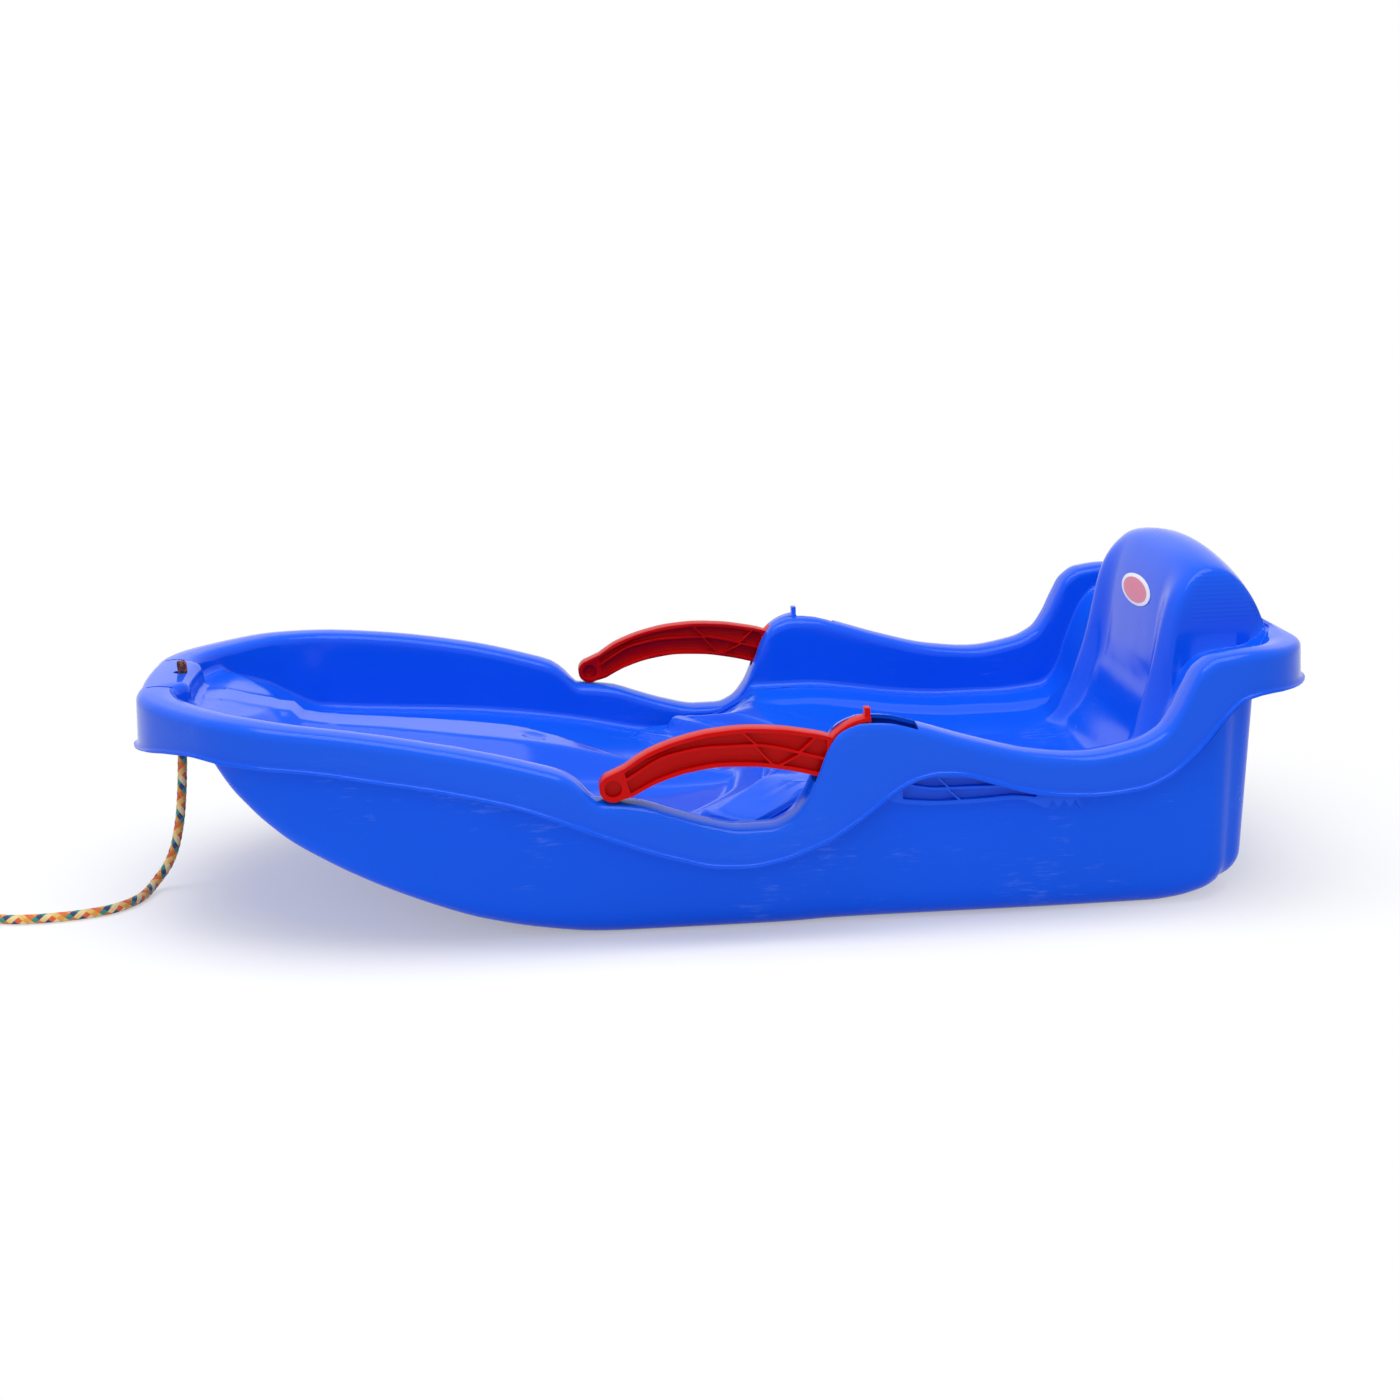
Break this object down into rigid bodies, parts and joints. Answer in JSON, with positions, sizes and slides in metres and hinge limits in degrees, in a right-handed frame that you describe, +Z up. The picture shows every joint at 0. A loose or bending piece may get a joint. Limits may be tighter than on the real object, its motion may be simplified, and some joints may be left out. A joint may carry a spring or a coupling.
{
  "type": "plastic bobsled",
  "caption": "Child's plastic bobsled: moulded tub with seat and backrest on a closed hull, a brake lever on a hinge at each side, tow rope at the nose.",
  "frame": {"origin": "on the ground, under the middle of the sled without its rope", "axes": "+X towards the tail, +Y to the rider's right, +Z up"},
  "size_m": [1.1793, 0.44, 0.2731],
  "materials": {
    "blue_polyethylene": "gloss",
    "blue_polyethylene_hull": "gloss",
    "red_polypropylene": "satin",
    "zinc_plated_steel": "satin",
    "printed_vinyl": "gloss",
    "rope_braid": "braided",
    "black_tie": "matt"
  },
  "bodies": {
    "shell": {"tub_shell": "blue_polyethylene", "hull_shell": "blue_polyethylene_hull", "brake_axle_left": "zinc_plated_steel", "brake_axle_right": "zinc_plated_steel", "backrest_label": "printed_vinyl", "rope_knot": "rope_braid", "tow_rope": "rope_braid", "rope_coil": "rope_braid", "rope_end_knot": "rope_braid", "coil_tie": "black_tie"},
    "left_brake": {"brake_lever_left": "red_polypropylene"},
    "right_brake": {"brake_lever_right": "red_polypropylene"}
  },
  "joints": [
    {"name": "left_brake_hinge", "type": "hinge", "parent": "shell", "child": "left_brake", "pos_m": [0.111, -0.2028, 0.129], "axis": [0, 1, 0], "range_deg": [0, 42]},
    {"name": "right_brake_hinge", "type": "hinge", "parent": "shell", "child": "right_brake", "pos_m": [0.111, 0.2028, 0.129], "axis": [0, 1, 0], "range_deg": [0, 42]}
  ]
}
